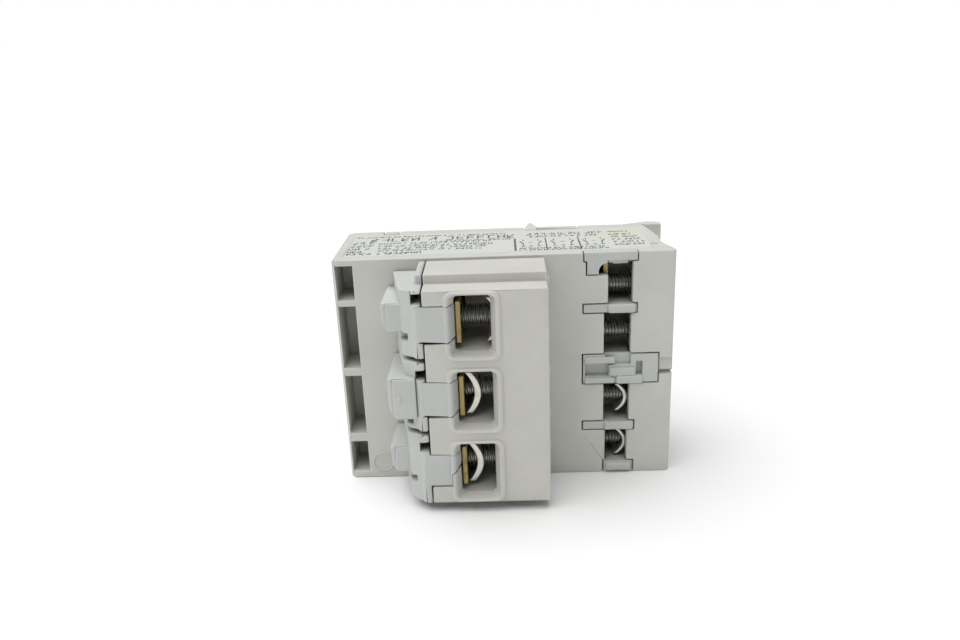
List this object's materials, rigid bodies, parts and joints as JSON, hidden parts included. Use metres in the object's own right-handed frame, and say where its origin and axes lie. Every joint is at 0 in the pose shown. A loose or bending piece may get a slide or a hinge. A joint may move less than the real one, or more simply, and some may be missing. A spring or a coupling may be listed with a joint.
{
  "type": "thermal overload relay",
  "caption": "Plug-in thermal overload relay for a rail-mounted contactor: boxed grey housing, raised terminal block with flared wire entries, clamping screws, dial, buttons and contact prongs.",
  "frame": {"origin": "centre of the overall box in X and Y, on the lower side face that the relay lies on", "axes": "+X from the rear face to the operating face with dial and buttons, +Y from the wiring side to the contactor side where the prongs leave, +Z across the poles, up through the rating label"},
  "size_m": [0.064, 0.052, 0.045],
  "materials": {
    "warm_grey": "fine moulded texture, light warm grey",
    "pale_grey": "fine moulded texture, light warm grey",
    "label": "printed film, pale grey with black print",
    "cool_grey": "fine moulded texture, light cool grey",
    "brass": "dull plated brass",
    "dark_steel": "dark zinc plated thread, worn ridges",
    "nickel": "dull white plating",
    "spring_steel": "bright drawn wire",
    "tinned_copper": "tin plated copper",
    "bimetal": "rolled bimetal strip",
    "heater": "woven glass sleeve over heater ribbon",
    "mechanism": "natural moulded plastic",
    "black_plastic": "black moulded plastic",
    "dial_grey": "moulded plastic",
    "blue_plastic": "moulded plastic",
    "red_plastic": "moulded plastic",
    "green_plastic": "moulded plastic"
  },
  "bodies": {
    "relay_body": {"main_housing": "warm_grey", "rear_cover": "warm_grey", "rating_label": "label", "terminal_block_cover": "pale_grey", "aux_terminal_carrier": "cool_grey", "terminal_carrier_1": "cool_grey", "terminal_carrier_2": "cool_grey", "terminal_carrier_3": "cool_grey", "terminal_plate_1": "brass", "terminal_plate_2": "brass", "terminal_plate_3": "brass", "contact_prong_1": "tinned_copper", "contact_prong_2": "tinned_copper", "contact_prong_3": "tinned_copper", "aux_plate_1": "brass", "aux_plate_2": "brass", "aux_plate_3": "brass", "aux_plate_4": "brass", "lever_pin": "spring_steel", "reset_spring": "spring_steel", "test_spring": "spring_steel"},
    "power_clamp_1": {"lock_washer_1": "spring_steel", "saddle_washer_1": "nickel"},
    "power_screw_1": {"power_screw_1": "dark_steel"},
    "power_clamp_2": {"lock_washer_2": "spring_steel"},
    "power_screw_2": {"power_screw_2": "dark_steel"},
    "power_clamp_3": {"lock_washer_3": "spring_steel"},
    "power_screw_3": {"power_screw_3": "dark_steel"},
    "saddle_washer_2": {"saddle_washer_2": "nickel"},
    "saddle_washer_3": {"saddle_washer_3": "nickel"},
    "aux_clamp_1": {"aux_washer_1": "nickel"},
    "aux_screw_1": {"aux_screw_1": "dark_steel"},
    "aux_clamp_2": {"aux_washer_2": "nickel"},
    "aux_screw_2": {"aux_screw_2": "dark_steel"},
    "aux_clamp_3": {"aux_washer_3": "nickel"},
    "aux_screw_3": {"aux_screw_3": "dark_steel"},
    "aux_clamp_4": {"aux_washer_4": "nickel"},
    "aux_screw_4": {"aux_screw_4": "dark_steel"},
    "trip_slide": {"trip_slide": "mechanism"},
    "differential_slide": {"differential_slide": "mechanism"},
    "bimetal_1": {"bimetal_strip_1": "bimetal", "heater_winding_1": "heater"},
    "bimetal_2": {"bimetal_strip_2": "bimetal", "heater_winding_2": "heater"},
    "bimetal_3": {"bimetal_strip_3": "bimetal", "heater_winding_3": "heater"},
    "trip_lever": {"trip_lever": "mechanism"},
    "contact_slider": {"contact_slider": "black_plastic", "nc_contact_bridge": "nickel", "no_contact_bridge": "nickel", "trip_flag": "green_plastic"},
    "setting_dial": {"setting_dial": "dial_grey"},
    "reset_button": {"reset_button": "blue_plastic"},
    "test_button": {"test_button": "red_plastic"}
  },
  "joints": [
    {"name": "power_screw_1_travel", "type": "slide", "parent": "relay_body", "child": "power_clamp_1", "axis": [1, 0, 0], "range_m": [-0.004, 0]},
    {"name": "power_screw_1_turn", "type": "hinge", "parent": "power_clamp_1", "child": "power_screw_1", "pos_m": [-0.00405, -0.01904, 0.0363], "axis": [1, 0, 0], "range_deg": [-2059, 1]},
    {"name": "power_screw_2_travel", "type": "slide", "parent": "relay_body", "child": "power_clamp_2", "axis": [1, 0, 0], "range_m": [-0.004, 0]},
    {"name": "power_screw_2_turn", "type": "hinge", "parent": "power_clamp_2", "child": "power_screw_2", "pos_m": [-0.00405, -0.01904, 0.02235], "axis": [1, 0, 0], "range_deg": [-2059, 1]},
    {"name": "power_screw_3_travel", "type": "slide", "parent": "relay_body", "child": "power_clamp_3", "axis": [1, 0, 0], "range_m": [-0.004, 0]},
    {"name": "power_screw_3_turn", "type": "hinge", "parent": "power_clamp_3", "child": "power_screw_3", "pos_m": [-0.00405, -0.01904, 0.0084], "axis": [1, 0, 0], "range_deg": [-2059, 1]},
    {"name": "saddle_washer_2_float", "type": "slide", "parent": "relay_body", "child": "saddle_washer_2", "axis": [1, 0, 0], "range_m": [0, 0.004]},
    {"name": "saddle_washer_3_float", "type": "slide", "parent": "relay_body", "child": "saddle_washer_3", "axis": [1, 0, 0], "range_m": [0, 0.004]},
    {"name": "aux_screw_1_travel", "type": "slide", "parent": "relay_body", "child": "aux_clamp_1", "axis": [1, 0, 0], "range_m": [-0.0038, 0]},
    {"name": "aux_screw_1_turn", "type": "hinge", "parent": "aux_clamp_1", "child": "aux_screw_1", "pos_m": [0.02195, -0.00745, 0.0379], "axis": [1, 0, 0], "range_deg": [-2282, 1]},
    {"name": "aux_screw_2_travel", "type": "slide", "parent": "relay_body", "child": "aux_clamp_2", "axis": [1, 0, 0], "range_m": [-0.0038, 0]},
    {"name": "aux_screw_2_turn", "type": "hinge", "parent": "aux_clamp_2", "child": "aux_screw_2", "pos_m": [0.02195, -0.00745, 0.0287], "axis": [1, 0, 0], "range_deg": [-2282, 1]},
    {"name": "aux_screw_3_travel", "type": "slide", "parent": "relay_body", "child": "aux_clamp_3", "axis": [1, 0, 0], "range_m": [-0.0011, 0.0027]},
    {"name": "aux_screw_3_turn", "type": "hinge", "parent": "aux_clamp_3", "child": "aux_screw_3", "pos_m": [0.02195, -0.00745, 0.0153], "axis": [1, 0, 0], "range_deg": [-662, 1622]},
    {"name": "aux_screw_4_travel", "type": "slide", "parent": "relay_body", "child": "aux_clamp_4", "axis": [1, 0, 0], "range_m": [-0.0011, 0.0027]},
    {"name": "aux_screw_4_turn", "type": "hinge", "parent": "aux_clamp_4", "child": "aux_screw_4", "pos_m": [0.02195, -0.00745, 0.0058], "axis": [1, 0, 0], "range_deg": [-662, 1622]},
    {"name": "trip_slide_travel", "type": "slide", "parent": "relay_body", "child": "trip_slide", "axis": [0, 0, 1], "range_m": [0, 0.0016]},
    {"name": "differential_slide_travel", "type": "slide", "parent": "relay_body", "child": "differential_slide", "axis": [0, 0, 1], "range_m": [0, 0.0017]},
    {"name": "bimetal_1_bend", "type": "hinge", "parent": "relay_body", "child": "bimetal_1", "pos_m": [-0.02305, -0.00204, 0.0363], "axis": [0, -1, 0], "range_deg": [0, 4]},
    {"name": "bimetal_2_bend", "type": "hinge", "parent": "relay_body", "child": "bimetal_2", "pos_m": [-0.02305, -0.00204, 0.02235], "axis": [0, -1, 0], "range_deg": [0, 4]},
    {"name": "bimetal_3_bend", "type": "hinge", "parent": "relay_body", "child": "bimetal_3", "pos_m": [-0.02305, -0.00204, 0.0084], "axis": [0, -1, 0], "range_deg": [0, 4]},
    {"name": "trip_lever_turn", "type": "hinge", "parent": "relay_body", "child": "trip_lever", "pos_m": [0.00975, 0.00246, 0.0224], "axis": [0, 1, 0], "range_deg": [0, 19]},
    {"name": "contact_slider_travel", "type": "slide", "parent": "relay_body", "child": "contact_slider", "axis": [1, 0, 0], "range_m": [0, 0.0016]},
    {"name": "setting_dial_turn", "type": "hinge", "parent": "relay_body", "child": "setting_dial", "pos_m": [0.02795, 0.00255, 0.033], "axis": [1, 0, 0], "range_deg": [0, 240]},
    {"name": "reset_button_press", "type": "slide", "parent": "relay_body", "child": "reset_button", "axis": [-1, 0, 0], "range_m": [0, 0.0025], "stiffness_N_per_m": 300, "springref_m": -0.002, "deforming": ["reset_spring"]},
    {"name": "test_button_press", "type": "slide", "parent": "relay_body", "child": "test_button", "axis": [-1, 0, 0], "range_m": [0, 0.0018], "stiffness_N_per_m": 300, "springref_m": -0.002, "deforming": ["test_spring"]}
  ],
  "couplings": [
    {"joint": "power_screw_1_turn", "follows": "power_screw_1_travel", "rad_per_m": 8976},
    {"joint": "power_screw_2_turn", "follows": "power_screw_2_travel", "rad_per_m": 8976},
    {"joint": "power_screw_3_turn", "follows": "power_screw_3_travel", "rad_per_m": 8976},
    {"joint": "aux_screw_1_turn", "follows": "aux_screw_1_travel", "rad_per_m": 10472},
    {"joint": "aux_screw_2_turn", "follows": "aux_screw_2_travel", "rad_per_m": 10472},
    {"joint": "aux_screw_3_turn", "follows": "aux_screw_3_travel", "rad_per_m": 10472},
    {"joint": "aux_screw_4_turn", "follows": "aux_screw_4_travel", "rad_per_m": 10472},
    {"joint": "differential_slide_travel", "follows": "trip_slide_travel", "ratio": 1},
    {"joint": "bimetal_1_bend", "follows": "trip_slide_travel", "rad_per_m": 41.667},
    {"joint": "bimetal_2_bend", "follows": "trip_slide_travel", "rad_per_m": 41.667},
    {"joint": "bimetal_3_bend", "follows": "trip_slide_travel", "rad_per_m": 41.667},
    {"joint": "trip_lever_turn", "follows": "trip_slide_travel", "rad_per_m": 200},
    {"joint": "contact_slider_travel", "follows": "trip_slide_travel", "ratio": 0.9375}
  ]
}
